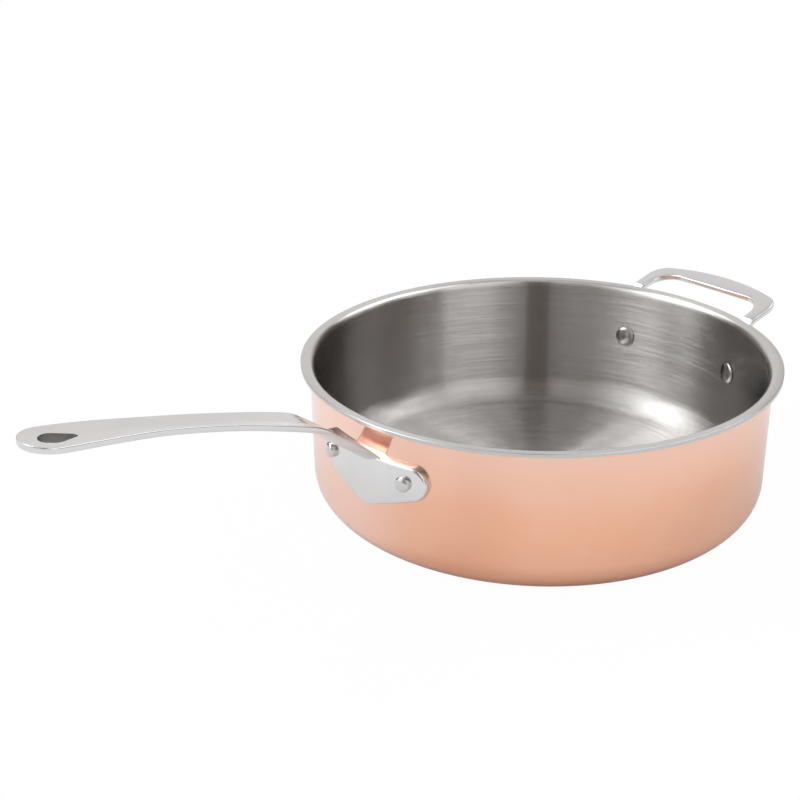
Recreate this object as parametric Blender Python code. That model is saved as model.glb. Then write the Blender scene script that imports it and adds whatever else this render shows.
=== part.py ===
"""Copper saute pan with a long handle and a helper handle.

The pan is a deep-drawn bowl of clad sheet: copper outside, an aluminium core
and a steel lining, flared together into a pouring rim. Two cast steel handles
are riveted to its wall, each with two rivets.

Units are metres. The pan stands on z = 0 with its axis on the Z axis, and the
long handle points to -X.
"""
import math

import bmesh
import bpy
from mathutils import Matrix, Vector

# Bowl
PAN_HEIGHT = 0.0916
INNER_RADIUS = 0.140
CORNER_RADIUS = 0.019
FLARE_RADIUS = 0.0018
FLARE_ANGLE = math.radians(86)
RIM_OVERHANG = 0.0057
COPPER_THICKNESS = 0.0005
CORE_THICKNESS = 0.0009
LINING_THICKNESS = 0.0005
LAYER_GAP = 0.0003

# Rivets
SHANK_RADIUS = 0.003
OUTER_HEAD_RADIUS = 0.0046
OUTER_HEAD_SIDE = 0.0014
OUTER_HEAD_DOME = 0.0018
INNER_HEAD_RADIUS = 0.0068
INNER_HEAD_DOME = 0.0016
HOLE_CLEARANCE = 0.0003
SEAT_CLEARANCE = 0.0003

# Shield of the long handle, which the two rivets hold
LONG_HANDLE_AZIMUTH = math.radians(180)
LONG_RIVET_SPREAD = math.radians(12)
LONG_RIVET_DROP = 0.0305
SHIELD_THICKNESS = 0.0035
SHIELD_EDGE_ROUND = 0.0013
LOBE_RADIUS = 0.0104
LOBE_OFFSET = 0.0040
APEX_DROP = 0.0237
APEX_ROUND = 0.008

# Long handle, measured along its top line from the shield
ROOT_DEPTH = 0.0012
ROOT_DROP = 0.0005
ROOT_SLOPE = math.radians(44.5)
ROOT_LENGTH = 0.030
NECK_SLOPE = math.radians(36)
NECK_LENGTH = 0.0143
BEND_LENGTH = 0.013
GRIP_SLOPE = math.radians(20)
GRIP_LENGTH = 0.1577
TIP_SLOPE = math.radians(8.1)
TIP_ROUND_LENGTH = 0.0145
TIP_FLAT_ANGLE = math.radians(7)
SHOULDER_POSITION = 0.045
WAIST_POSITION = 0.112
WIDENING_POSITION = 0.135
ROOT_HALF_WIDTH = 0.0128
SHOULDER_HALF_WIDTH = 0.0138
WAIST_HALF_WIDTH = 0.0104
TIP_HALF_WIDTH = 0.0149
ROOT_SIDE_HEIGHT = 0.0010
GRIP_SIDE_HEIGHT = 0.0032
TIP_SIDE_HEIGHT = 0.0030
END_SIDE_HEIGHT = 0.0024
ROOT_CROWN = 0.0047
GRIP_CROWN = 0.0018
TIP_CROWN = 0.0032
ROOT_GROOVE = 0.0004
GRIP_GROOVE = 0.0015
TIP_GROOVE = 0.0013
HANDLE_EDGE_ROUND = 0.0009
EDGE_ROUND_LIMIT = 1 / 3
EDGE_SIDE_LIMIT = 0.4
HANGING_HOLE_RADIUS = 0.0066
HANGING_HOLE_END_RADIUS = 0.0024
HANGING_HOLE_LENGTH = 0.0190
HANGING_HOLE_MARGIN = 0.0091

# Helper handle: two round pads, two legs and a bowed grip
HELPER_HANDLE_AZIMUTH = math.radians(-4.6)
HELPER_RIVET_SPREAD = math.radians(19.06)
HELPER_RIVET_DROP = 0.0361
PAD_RADIUS = 0.011
PAD_THICKNESS = 0.004
PAD_EDGE_ROUND = 0.0013
LEG_WIDTH = 0.009
LEG_ROOT_THICKNESS = 0.0025
LEG_TAPER_SHARE = 1 / 3
LEG_HEAD_GAP = 0.0012
LEG_BEND_RADIUS = 0.008
LOOP_THICKNESS = 0.005
LOOP_EDGE_ROUND = 0.001
LOOP_SLOPE = math.radians(14.8)
LOOP_REACH = 0.0395
LOOP_DROP = 0.0008
RIM_CLEARANCE = 0.0013
GRIP_WIDTH = 0.0138
GRIP_BOW_RADIUS = 0.142
OUTER_CORNER_RADIUS = 0.0135
WINDOW_CORNER_RADIUS = 0.0155

# Facets
TURN_STEPS = 64
CORNER_STEPS = 5
FLARE_STEPS = 4
RIVET_STEPS = 16
HEAD_STEPS = 3
SHIELD_STRIP = 0.006
LOBE_STEPS = 8
APEX_STEPS = 3
PAD_STEPS = 24
ROOT_STEPS = 4
BEND_STEPS = 3
GRIP_STEPS = 12
TIP_STEPS = 6
HOLE_STEPS = 14
HOLE_END_STEPS = 5
LEG_BEND_STEPS = 4
LOOP_CORNER_STEPS = 7
BOW_STEPS = 3
BELLY_STEPS = 4
HANDLE_BELLY_SHARES = (0.9, 0.5)
SMOOTH_ANGLE = math.radians(35)
CUT_TOLERANCE = 1e-7

# Sizes that follow from the ones above
SHEET_THICKNESS = COPPER_THICKNESS + CORE_THICKNESS + LINING_THICKNESS + 2 * LAYER_GAP
OUTER_RADIUS = INNER_RADIUS + SHEET_THICKNESS
RIM_RADIUS = OUTER_RADIUS + RIM_OVERHANG
FITTING_RADIUS = OUTER_RADIUS + SEAT_CLEARANCE
FACET_SHRINK = math.cos(math.pi / TURN_STEPS)
HOLE_RADIUS = SHANK_RADIUS + HOLE_CLEARANCE
LONG_RIVET_HEIGHT = PAN_HEIGHT - LONG_RIVET_DROP
HELPER_RIVET_HEIGHT = PAN_HEIGHT - HELPER_RIVET_DROP
GRIP_START = ROOT_LENGTH + NECK_LENGTH + BEND_LENGTH
HANDLE_LENGTH = GRIP_START + GRIP_LENGTH
TIP_START = HANDLE_LENGTH - TIP_ROUND_LENGTH

# Looks: base colour, metallic, roughness
FINISHES = {
    "polished_copper": ((0.86, 0.47, 0.33), 1.0, 0.16),
    "core_aluminium": ((0.74, 0.75, 0.76), 1.0, 0.35),
    "brushed_steel": ((0.56, 0.54, 0.52), 1.0, 0.32),
    "cast_steel": ((0.68, 0.68, 0.67), 1.0, 0.18),
    "rivet_steel": ((0.72, 0.71, 0.69), 1.0, 0.15),
}


def clear_scene():
    for old in list(bpy.data.objects):
        bpy.data.objects.remove(old, do_unlink=True)


def finish_material(name):
    """The material of one finish, made once and shared."""
    material = bpy.data.materials.get(name)
    if material:
        return material
    colour, metallic, roughness = FINISHES[name]
    material = bpy.data.materials.new(name)
    material.use_nodes = True
    shader = material.node_tree.nodes["Principled BSDF"]
    shader.inputs["Base Color"].default_value = (*colour, 1.0)
    shader.inputs["Metallic"].default_value = metallic
    shader.inputs["Roughness"].default_value = roughness
    material.diffuse_color = (*colour, 1.0)
    return material


def add_object(name, bm, finish, azimuth=0.0):
    """Turn a bmesh into a smooth-shaded object, turned about the pan's axis."""
    bmesh.ops.recalc_face_normals(bm, faces=bm.faces)
    bmesh.ops.rotate(bm, verts=bm.verts, cent=(0, 0, 0), matrix=Matrix.Rotation(azimuth, 3, "Z"))
    mesh = bpy.data.meshes.new(name)
    bm.to_mesh(mesh)
    bm.free()
    mesh.shade_smooth()
    mesh.set_sharp_from_angle(angle=SMOOTH_ANGLE)
    mesh.materials.append(finish_material(finish))
    piece = bpy.data.objects.new(name, mesh)
    bpy.context.collection.objects.link(piece)
    return piece


def add_tool(name, bm, azimuth=0.0):
    """A helper shape for a Boolean, which is not a piece of the pan."""
    tool = add_object(name, bm, "cast_steel", azimuth)
    tool.hide_render = True
    tool.display_type = "WIRE"
    return tool


def combine(piece, tool, operation):
    modifier = piece.modifiers.new(tool.name, "BOOLEAN")
    modifier.operation = operation
    modifier.solver = "EXACT"
    modifier.object = tool


def arc(centre, radius, start, end, steps):
    """Points on a circle in a plane, from the start angle to the end angle."""
    points = []
    for step in range(steps + 1):
        angle = start + (end - start) * step / steps
        points.append((centre[0] + radius * math.cos(angle), centre[1] + radius * math.sin(angle)))
    return points


def ease(value, low, high):
    """Smooth step from 0 at low to 1 at high."""
    share = min(max((value - low) / (high - low), 0.0), 1.0)
    return share * share * (3 - 2 * share)


def revolve(profile, steps):
    """Turn a closed profile of (radius, height) about Z into a closed solid."""
    bm = bmesh.new()
    rings = []
    for radius, height in profile:
        if radius == 0.0:
            rings.append([bm.verts.new((0, 0, height))])
            continue
        ring = []
        for step in range(steps):
            angle = 2 * math.pi * step / steps
            ring.append(bm.verts.new((radius * math.cos(angle), radius * math.sin(angle), height)))
        rings.append(ring)
    for index, ring in enumerate(rings):
        following = rings[(index + 1) % len(rings)]
        if len(ring) == 1 and len(following) == 1:
            continue
        for step in range(steps):
            after = (step + 1) % steps
            if len(ring) == 1:
                bm.faces.new((ring[0], following[after], following[step]))
            elif len(following) == 1:
                bm.faces.new((ring[step], ring[after], following[0]))
            else:
                bm.faces.new((ring[step], ring[after], following[after], following[step]))
    return bm


def loft(rings):
    """Join rings of points, all of one count, into a solid with two end caps."""
    bm = bmesh.new()
    loops = [[bm.verts.new(point) for point in ring] for ring in rings]
    count = len(loops[0])
    for near, far in zip(loops, loops[1:]):
        for index in range(count):
            after = (index + 1) % count
            bm.faces.new((near[index], near[after], far[after], far[index]))
    bm.faces.new(loops[0])
    bm.faces.new(loops[-1])
    bmesh.ops.triangulate(bm, faces=bm.faces)
    return bm


def flare_height():
    """Height at which the wall starts to flare, so that the rim ends level."""
    radius = FLARE_RADIUS + SHEET_THICKNESS
    flange_start = OUTER_RADIUS + FLARE_RADIUS - radius * math.cos(FLARE_ANGLE)
    flange_rise = (RIM_RADIUS - flange_start) / math.tan(FLARE_ANGLE)
    return PAN_HEIGHT - flange_rise - radius * math.sin(FLARE_ANGLE)


def sheet_surface(depth):
    """The bowl's sheet at one depth under its outer face, from axis to rim."""
    corner_centre = (OUTER_RADIUS - CORNER_RADIUS, CORNER_RADIUS)
    points = [(0.0, depth)]
    points += arc(corner_centre, CORNER_RADIUS - depth, -math.pi / 2, 0.0, CORNER_STEPS)
    flare_centre = (OUTER_RADIUS + FLARE_RADIUS, flare_height())
    flare = arc(flare_centre, FLARE_RADIUS + depth, math.pi, math.pi - FLARE_ANGLE, FLARE_STEPS)
    points += flare
    last_radius, last_height = flare[-1]
    rise = (RIM_RADIUS - last_radius) / math.tan(FLARE_ANGLE)
    points.append((RIM_RADIUS, last_height + rise))
    return points


def add_layer(name, depth, thickness, finish):
    """One layer of the clad sheet, between two depths under the outer face."""
    outer = sheet_surface(depth)
    inner = sheet_surface(depth + thickness)
    return add_object(name, revolve(outer + inner[::-1], TURN_STEPS), finish)


def rivet_frame(azimuth, height):
    """Matrix that lays the Z axis along a radius of the pan at one height."""
    outward = Vector((math.cos(azimuth), math.sin(azimuth), 0))
    turn = outward.to_track_quat("Z", "Y").to_matrix().to_4x4()
    return Matrix.Translation((0, 0, height)) @ turn


def add_rivet(name, azimuth, height, seat_radius):
    """Rivet with a raised outer head and a low domed head inside the pan."""
    wall = math.sqrt(INNER_RADIUS ** 2 - INNER_HEAD_RADIUS ** 2) * FACET_SHRINK
    inner_seat = wall - SEAT_CLEARANCE
    outer_seat = seat_radius + SEAT_CLEARANCE
    inner_dome = []
    outer_dome = []
    for step in range(1, HEAD_STEPS + 1):
        angle = math.pi / 2 * step / HEAD_STEPS
        across = math.sin(angle)
        rise = math.cos(angle)
        inner_dome.append((INNER_HEAD_RADIUS * across, inner_seat - INNER_HEAD_DOME * rise))
        outer_dome.append((OUTER_HEAD_RADIUS * across, outer_seat + OUTER_HEAD_SIDE + OUTER_HEAD_DOME * rise))
    profile = [(0.0, inner_seat - INNER_HEAD_DOME)] + inner_dome
    profile += [(SHANK_RADIUS, inner_seat), (SHANK_RADIUS, outer_seat), (OUTER_HEAD_RADIUS, outer_seat)]
    profile += outer_dome[::-1] + [(0.0, outer_seat + OUTER_HEAD_SIDE + OUTER_HEAD_DOME)]
    bm = revolve(profile, RIVET_STEPS)
    bmesh.ops.transform(bm, matrix=rivet_frame(azimuth, height), verts=bm.verts)
    return add_object(name, bm, "rivet_steel")


def rivet_hole_tool(name, azimuth, height, plate_thickness):
    """Radial cylinder that drills the wall and a handle for one rivet."""
    margin = INNER_HEAD_RADIUS
    start = INNER_RADIUS - margin
    end = FITTING_RADIUS + plate_thickness + margin
    profile = [(0.0, start), (HOLE_RADIUS, start), (HOLE_RADIUS, end), (0.0, end)]
    bm = revolve(profile, RIVET_STEPS)
    bmesh.ops.transform(bm, matrix=rivet_frame(azimuth, height), verts=bm.verts)
    return add_tool(name, bm)


def inset_outline(outline, distance):
    """A convex anticlockwise outline, moved inward by a distance."""
    moved = []
    count = len(outline)
    for index, point in enumerate(outline):
        before = Vector(outline[index - 1])
        after = Vector(outline[(index + 1) % count])
        along = (after - before).normalized()
        moved.append((point[0] - along.y * distance, point[1] + along.x * distance))
    return moved


def curved_plate(outline, thickness, edge_round):
    """A plate of (arc, height) outline that lies on the pan's wall at +X."""
    bm = bmesh.new()
    levels = [(0.0, 0.0)]
    for angle in (0.0, math.pi / 4, math.pi / 2):
        depth = thickness - edge_round * (1 - math.sin(angle))
        levels.append((depth, edge_round * (1 - math.cos(angle))))
    loops = []
    for depth, inset in levels:
        loops.append([bm.verts.new((across, up, depth)) for across, up in inset_outline(outline, inset)])
    count = len(outline)
    for low, high in zip(loops, loops[1:]):
        for index in range(count):
            after = (index + 1) % count
            bm.faces.new((low[index], low[after], high[after], high[index]))
    bm.faces.new(loops[0][::-1])
    bm.faces.new(loops[-1])
    half_width = max(point[0] for point in outline)
    strips = int(half_width / SHIELD_STRIP)
    for strip in range(-strips, strips + 1):
        parts = list(bm.verts) + list(bm.edges) + list(bm.faces)
        place = (strip * SHIELD_STRIP, 0, 0)
        bmesh.ops.bisect_plane(bm, geom=parts, dist=CUT_TOLERANCE, plane_co=place, plane_no=(1, 0, 0))
    bmesh.ops.triangulate(bm, faces=bm.faces)
    outer = FITTING_RADIUS + thickness
    for vert in bm.verts:
        across, height, depth = vert.co
        radius = FITTING_RADIUS + depth
        angle = across / outer
        vert.co = (radius * math.cos(angle), radius * math.sin(angle), height)
    return bm


def shield_outline():
    """Shield of the long handle: two lobes, a straight top and a low apex."""
    lobe_x = LONG_RIVET_SPREAD * (FITTING_RADIUS + SHIELD_THICKNESS) + LOBE_OFFSET
    lobe_z = LONG_RIVET_HEIGHT
    apex_z = lobe_z - APEX_DROP
    reach = math.hypot(lobe_x, APEX_DROP)
    lean = math.atan2(APEX_DROP, lobe_x) - math.asin(LOBE_RADIUS / reach)
    lobe = arc((lobe_x, lobe_z), LOBE_RADIUS, -math.pi / 2 + lean, math.pi / 2, LOBE_STEPS)
    round_z = apex_z + APEX_ROUND / math.cos(lean)
    apex = arc((0.0, round_z), APEX_ROUND, -math.pi / 2, -math.pi / 2 + lean, APEX_STEPS)
    right = apex + lobe
    left = [(-across, height) for across, height in right[:0:-1]]
    return right + left


def handle_station(length):
    """Place (reach, height) and slope of the long handle's top line."""
    runs = (
        (ROOT_LENGTH, NECK_SLOPE),
        (NECK_LENGTH, NECK_SLOPE),
        (BEND_LENGTH, GRIP_SLOPE),
        (GRIP_LENGTH, TIP_SLOPE),
    )
    place = Vector((FITTING_RADIUS + ROOT_DEPTH, LONG_RIVET_HEIGHT + LOBE_RADIUS - ROOT_DROP))
    slope = ROOT_SLOPE
    rest = length
    for run, end_slope in runs:
        part = min(rest, run)
        half_turn = (end_slope - slope) * part / run / 2
        chord = part * math.sin(half_turn) / half_turn if half_turn else part
        place += Vector((math.cos(slope + half_turn), math.sin(slope + half_turn))) * chord
        slope += 2 * half_turn
        rest -= part
    return place, slope


def tip_share(length):
    """Share of the full width that the round tip leaves at one length."""
    ahead = max(length - TIP_START, 0.0) / TIP_ROUND_LENGTH
    return math.sqrt(max(1 - ahead ** 2, 0.0))


def handle_section(length):
    """Section of the long handle: shallow V on top and a full belly below."""
    shoulder = ease(length, 0.0, SHOULDER_POSITION)
    waist = ease(length, SHOULDER_POSITION, WAIST_POSITION)
    tip = ease(length, WIDENING_POSITION, TIP_START)
    end = tip_share(length)
    half_width = ROOT_HALF_WIDTH
    half_width += (SHOULDER_HALF_WIDTH - ROOT_HALF_WIDTH) * shoulder
    half_width += (WAIST_HALF_WIDTH - SHOULDER_HALF_WIDTH) * waist
    half_width += (TIP_HALF_WIDTH - WAIST_HALF_WIDTH) * tip
    half_width *= end
    neck = ease(length, ROOT_LENGTH, GRIP_START)
    side = ROOT_SIDE_HEIGHT + (GRIP_SIDE_HEIGHT - ROOT_SIDE_HEIGHT) * neck
    side += (TIP_SIDE_HEIGHT - GRIP_SIDE_HEIGHT) * tip
    side = END_SIDE_HEIGHT + (side - END_SIDE_HEIGHT) * end
    crown = ROOT_CROWN + (GRIP_CROWN - ROOT_CROWN) * neck
    crown = (crown + (TIP_CROWN - GRIP_CROWN) * tip) * end
    groove = ROOT_GROOVE + (GRIP_GROOVE - ROOT_GROOVE) * shoulder
    groove = (groove + (TIP_GROOVE - GRIP_GROOVE) * tip) * end
    edge = min(HANDLE_EDGE_ROUND, half_width * EDGE_ROUND_LIMIT, side * EDGE_SIDE_LIMIT)
    right = [(half_width - edge, 0.0), (half_width, -edge), (half_width, edge - side)]
    for share in HANDLE_BELLY_SHARES:
        right.append((half_width * share, -side - crown * (1 - share ** 2)))
    left = [(-across, up) for across, up in right[::-1]]
    return [(0.0, -groove)] + right + [(0.0, -side - crown)] + left


def handle_lengths():
    """Lengths along the long handle at which its sections stand."""
    lengths = [ROOT_LENGTH * step / ROOT_STEPS for step in range(ROOT_STEPS + 1)]
    for step in range(BEND_STEPS + 1):
        lengths.append(ROOT_LENGTH + NECK_LENGTH + BEND_LENGTH * step / BEND_STEPS)
    for step in range(1, GRIP_STEPS + 1):
        lengths.append(GRIP_START + (TIP_START - GRIP_START) * step / GRIP_STEPS)
    last_angle = math.pi / 2 - TIP_FLAT_ANGLE
    for step in range(1, TIP_STEPS + 1):
        lengths.append(TIP_START + TIP_ROUND_LENGTH * math.sin(last_angle * step / TIP_STEPS))
    return lengths


def add_long_handle():
    """Cast steel handle with its riveted shield and its hanging hole."""
    rings = []
    for length in handle_lengths():
        place, slope = handle_station(length)
        lean = slope * ease(length, 0.0, ROOT_LENGTH)
        ring = []
        for across, up in handle_section(length):
            ring.append((place.x - up * math.sin(lean), across, place.y + up * math.cos(lean)))
        rings.append(ring)
    handle = add_object("long_handle", loft(rings), "cast_steel", LONG_HANDLE_AZIMUTH)

    shield = curved_plate(shield_outline(), SHIELD_THICKNESS, SHIELD_EDGE_ROUND)
    combine(handle, add_tool("shield_blank", shield, LONG_HANDLE_AZIMUTH), "UNION")
    hole = add_tool("hanging_hole_tool", hanging_hole(), LONG_HANDLE_AZIMUTH)
    combine(handle, hole, "DIFFERENCE")
    return handle


def hanging_hole():
    """Tapered slot, wide towards the tip, square to the handle's top."""
    hole_end, slope = handle_station(HANDLE_LENGTH - HANGING_HOLE_MARGIN)
    spacing = HANGING_HOLE_LENGTH - HANGING_HOLE_RADIUS - HANGING_HOLE_END_RADIUS
    taper = math.asin((HANGING_HOLE_RADIUS - HANGING_HOLE_END_RADIUS) / spacing)
    wide_half = math.pi / 2 + taper
    narrow_end = 2 * math.pi - wide_half
    outline = arc((0.0, 0.0), HANGING_HOLE_RADIUS, -wide_half, wide_half, HOLE_STEPS)
    outline += arc((-spacing, 0.0), HANGING_HOLE_END_RADIUS, wide_half, narrow_end, HOLE_END_STEPS)
    along = Vector((math.cos(slope), 0, math.sin(slope)))
    up = Vector((-math.sin(slope), 0, math.cos(slope)))
    centre = Vector((hole_end.x, 0, hole_end.y)) - along * HANGING_HOLE_RADIUS
    depth = 2 * (TIP_SIDE_HEIGHT + TIP_CROWN)
    rings = []
    for level in (-depth, depth):
        middle = centre + up * level
        rings.append([middle + along * ahead + Vector((0, across, 0)) for ahead, across in outline])
    return loft(rings)


def leg_stations(leg_outer, leg_inner):
    """Stations up one leg of the helper, and the point where the grip begins."""
    wall = math.sqrt(FITTING_RADIUS ** 2 - leg_inner ** 2)
    lip = math.sqrt(RIM_RADIUS ** 2 - leg_inner ** 2)
    root = Vector((wall, HELPER_RIVET_HEIGHT + OUTER_HEAD_RADIUS + LEG_HEAD_GAP))
    corner = Vector((lip + RIM_CLEARANCE, PAN_HEIGHT - LOOP_DROP))
    leg = (corner - root).normalized()
    leg_angle = math.atan2(leg.y, leg.x)
    bend_start = corner - leg * LEG_BEND_RADIUS * math.tan((leg_angle - LOOP_SLOPE) / 2)
    bend_centre = bend_start + Vector((leg.y, -leg.x)) * LEG_BEND_RADIUS
    tapered = root.lerp(bend_start, LEG_TAPER_SHARE)
    places = [(root, leg_angle, LEG_ROOT_THICKNESS), (tapered, leg_angle, LOOP_THICKNESS)]
    for step in range(LEG_BEND_STEPS + 1):
        angle = leg_angle + (LOOP_SLOPE - leg_angle) * step / LEG_BEND_STEPS
        place = bend_centre + Vector((-math.sin(angle), math.cos(angle))) * LEG_BEND_RADIUS
        places.append((place, angle, LOOP_THICKNESS))
    stations = []
    for place, angle, thickness in places:
        normal = Vector((-math.sin(angle), 0, math.cos(angle)))
        outer = Vector((place.x, leg_outer, place.y))
        inner = Vector((place.x, leg_inner, place.y))
        stations.append((outer, inner, normal, thickness))
    return stations, places[-1][0], lip


def loop_stations():
    """Stations on half the helper loop: outer point, inner point, normal, thickness.

    They run up one leg, over the rim and round the grip to its middle. The
    other half is their mirror image.
    """
    leg_middle = math.sin(HELPER_RIVET_SPREAD) * (FITTING_RADIUS + PAD_THICKNESS)
    leg_outer = leg_middle + LEG_WIDTH / 2
    leg_inner = leg_middle - LEG_WIDTH / 2
    stations, plane_start, lip = leg_stations(leg_outer, leg_inner)
    normal = Vector((-math.sin(LOOP_SLOPE), 0, math.cos(LOOP_SLOPE)))

    def in_plane(reach, across):
        return Vector((reach, across, plane_start.y + (reach - plane_start.x) * math.tan(LOOP_SLOPE)))

    grip_outer = lip + LOOP_REACH
    grip_inner = grip_outer - GRIP_WIDTH
    bow_centre = grip_outer - GRIP_BOW_RADIUS
    corner_bow = GRIP_BOW_RADIUS - OUTER_CORNER_RADIUS
    corner_across = leg_outer - OUTER_CORNER_RADIUS
    tilt = math.asin(corner_across / corner_bow)
    corner = (bow_centre + corner_bow * math.cos(tilt), corner_across)
    window = (grip_inner - WINDOW_CORNER_RADIUS, leg_inner - WINDOW_CORNER_RADIUS)
    outer_points = arc(corner, OUTER_CORNER_RADIUS, math.pi / 2, tilt, LOOP_CORNER_STEPS)
    inner_points = arc(window, WINDOW_CORNER_RADIUS, math.pi / 2, 0.0, LOOP_CORNER_STEPS)
    outer_points += arc((bow_centre, 0.0), GRIP_BOW_RADIUS, tilt, 0.0, BOW_STEPS)[1:]
    for step in range(1, BOW_STEPS + 1):
        inner_points.append((grip_inner, window[1] * (1 - step / BOW_STEPS)))
    for outer, inner in zip(outer_points, inner_points):
        stations.append((in_plane(*outer), in_plane(*inner), normal, LOOP_THICKNESS))
    return stations


def loop_section(outer, inner, normal, thickness):
    """Section of the helper loop: flat top, soft edges and a rounded underside."""
    across = (outer - inner).normalized()
    width = (outer - inner).length
    side = thickness / 2
    outline = [(LOOP_EDGE_ROUND, 0.0), (width - LOOP_EDGE_ROUND, 0.0), (width, -LOOP_EDGE_ROUND)]
    for aside, down in arc((0.0, 0.0), 1.0, 0.0, -math.pi, BELLY_STEPS):
        outline.append((width / 2 * (1 + aside), side * (down - 1)))
    outline.append((0.0, -LOOP_EDGE_ROUND))
    return [inner + across * aside + normal * up for aside, up in outline]


def add_helper_handle():
    """Cast steel loop on two round pads, opposite the long handle."""
    rings = [loop_section(*station) for station in loop_stations()]
    mirrored = [[Vector((point.x, -point.y, point.z)) for point in ring] for ring in rings[-2::-1]]
    handle = add_object("helper_handle", loft(rings + mirrored), "cast_steel", HELPER_HANDLE_AZIMUTH)
    pad = arc((0.0, HELPER_RIVET_HEIGHT), PAD_RADIUS, 0.0, 2 * math.pi, PAD_STEPS)[:-1]
    for side, turn in (("left", HELPER_RIVET_SPREAD), ("right", -HELPER_RIVET_SPREAD)):
        blank = curved_plate(pad, PAD_THICKNESS, PAD_EDGE_ROUND)
        tool = add_tool(f"pad_blank_{side}", blank, HELPER_HANDLE_AZIMUTH + turn)
        combine(handle, tool, "UNION")
    return handle


def build():
    clear_scene()
    core_depth = COPPER_THICKNESS + LAYER_GAP
    lining_depth = core_depth + CORE_THICKNESS + LAYER_GAP
    layers = [
        add_layer("copper_shell", 0.0, COPPER_THICKNESS, "polished_copper"),
        add_layer("aluminium_core", core_depth, CORE_THICKNESS, "core_aluminium"),
        add_layer("steel_lining", lining_depth, LINING_THICKNESS, "brushed_steel"),
    ]
    fittings = (
        (add_long_handle(), LONG_HANDLE_AZIMUTH, LONG_RIVET_SPREAD, LONG_RIVET_HEIGHT, SHIELD_THICKNESS),
        (add_helper_handle(), HELPER_HANDLE_AZIMUTH, HELPER_RIVET_SPREAD, HELPER_RIVET_HEIGHT, PAD_THICKNESS),
    )
    for handle, azimuth, spread, height, thickness in fittings:
        for side, turn in (("left", spread), ("right", -spread)):
            tool = rivet_hole_tool(f"{handle.name}_drill_{side}", azimuth + turn, height, thickness)
            for piece in layers + [handle]:
                combine(piece, tool, "DIFFERENCE")
            add_rivet(f"{handle.name}_rivet_{side}", azimuth + turn, height, FITTING_RADIUS + thickness)


build()
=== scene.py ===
"""Looks of the copper saute pan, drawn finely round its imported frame.

Every piece of the frame is drawn again with smooth curves and gets a metal of
its own. Sizes are in metres and repeat those of the part's source, apart from
the fineness, the seats and a few edge rounds, which follow the highlights.
"""
import math

import bmesh
import bpy
from mathutils import Matrix, Vector


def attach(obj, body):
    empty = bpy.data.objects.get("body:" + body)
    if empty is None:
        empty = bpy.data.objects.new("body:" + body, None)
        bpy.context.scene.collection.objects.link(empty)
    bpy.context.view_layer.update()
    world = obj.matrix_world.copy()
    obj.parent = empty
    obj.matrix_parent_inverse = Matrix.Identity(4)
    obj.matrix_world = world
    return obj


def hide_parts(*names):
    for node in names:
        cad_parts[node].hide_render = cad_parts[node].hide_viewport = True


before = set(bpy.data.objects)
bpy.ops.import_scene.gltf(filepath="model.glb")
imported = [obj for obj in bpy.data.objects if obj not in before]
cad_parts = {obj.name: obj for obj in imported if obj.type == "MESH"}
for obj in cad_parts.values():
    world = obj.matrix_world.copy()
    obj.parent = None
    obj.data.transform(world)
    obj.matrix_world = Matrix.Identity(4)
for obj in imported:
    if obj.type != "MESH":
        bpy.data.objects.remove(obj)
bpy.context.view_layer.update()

# Bowl
PAN_HEIGHT = 0.0916
INNER_RADIUS = 0.140
OUTER_RADIUS = 0.1425
RIM_RADIUS = 0.1482
CORNER_RADIUS = 0.019
FLARE_RADIUS = 0.0018
FLARE_ANGLE = math.radians(86)
SHEET_THICKNESS = OUTER_RADIUS - INNER_RADIUS
COPPER_THICKNESS = 0.0005
LINING_THICKNESS = 0.0005
RIM_EDGE_ROUND = 0.00025

# Rivets
FITTING_RADIUS = 0.1428
SHANK_RADIUS = 0.003
OUTER_HEAD_RADIUS = 0.0046
OUTER_HEAD_SIDE = 0.0014
OUTER_HEAD_DOME = 0.0018
INNER_HEAD_RADIUS = 0.0068
INNER_HEAD_DOME = 0.0016
INNER_HEAD_STAND = 0.0004
HEAD_STAND = 0.0003
SEAT_SINK = 0.0001

# Long handle
LONG_HANDLE_AZIMUTH = math.radians(180)
LONG_RIVET_SPREAD = math.radians(12)
LONG_RIVET_HEIGHT = 0.0611
SHIELD_THICKNESS = 0.0035
SHIELD_EDGE_ROUND = 0.0019
LOBE_RADIUS = 0.0104
LOBE_OFFSET = 0.0040
APEX_DROP = 0.0237
APEX_ROUND = 0.008
ROOT_DEPTH = 0.0012
ROOT_DROP = 0.0005
ROOT_SLOPE = math.radians(44.5)
ROOT_LENGTH = 0.030
NECK_SLOPE = math.radians(36)
NECK_LENGTH = 0.0143
BEND_LENGTH = 0.013
GRIP_SLOPE = math.radians(20)
GRIP_LENGTH = 0.1577
TIP_SLOPE = math.radians(8.1)
TIP_ROUND_LENGTH = 0.0145
TIP_FLAT_ANGLE = math.radians(2.5)
SHOULDER_POSITION = 0.045
WAIST_POSITION = 0.112
WIDENING_POSITION = 0.135
ROOT_HALF_WIDTH = 0.0128
SHOULDER_HALF_WIDTH = 0.0138
WAIST_HALF_WIDTH = 0.0104
TIP_HALF_WIDTH = 0.0149
ROOT_SIDE_HEIGHT = 0.0010
GRIP_SIDE_HEIGHT = 0.0032
TIP_SIDE_HEIGHT = 0.0030
END_SIDE_HEIGHT = 0.0024
ROOT_CROWN = 0.0047
GRIP_CROWN = 0.0018
TIP_CROWN = 0.0032
ROOT_GROOVE = 0.0004
GRIP_GROOVE = 0.0015
TIP_GROOVE = 0.0013
GROOVE_ROUND = 0.00015
HANDLE_EDGE_ROUND = 0.0005
EDGE_ROUND_LIMIT = 1 / 3
EDGE_SIDE_LIMIT = 0.4
BELLY_START_SHARE = 0.6
BELLY_LIFT_SHARE = 0.25
BELLY_LIFT_POWER = 30
HANGING_HOLE_RADIUS = 0.0066
HANGING_HOLE_END_RADIUS = 0.0024
HANGING_HOLE_LENGTH = 0.0190
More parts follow.
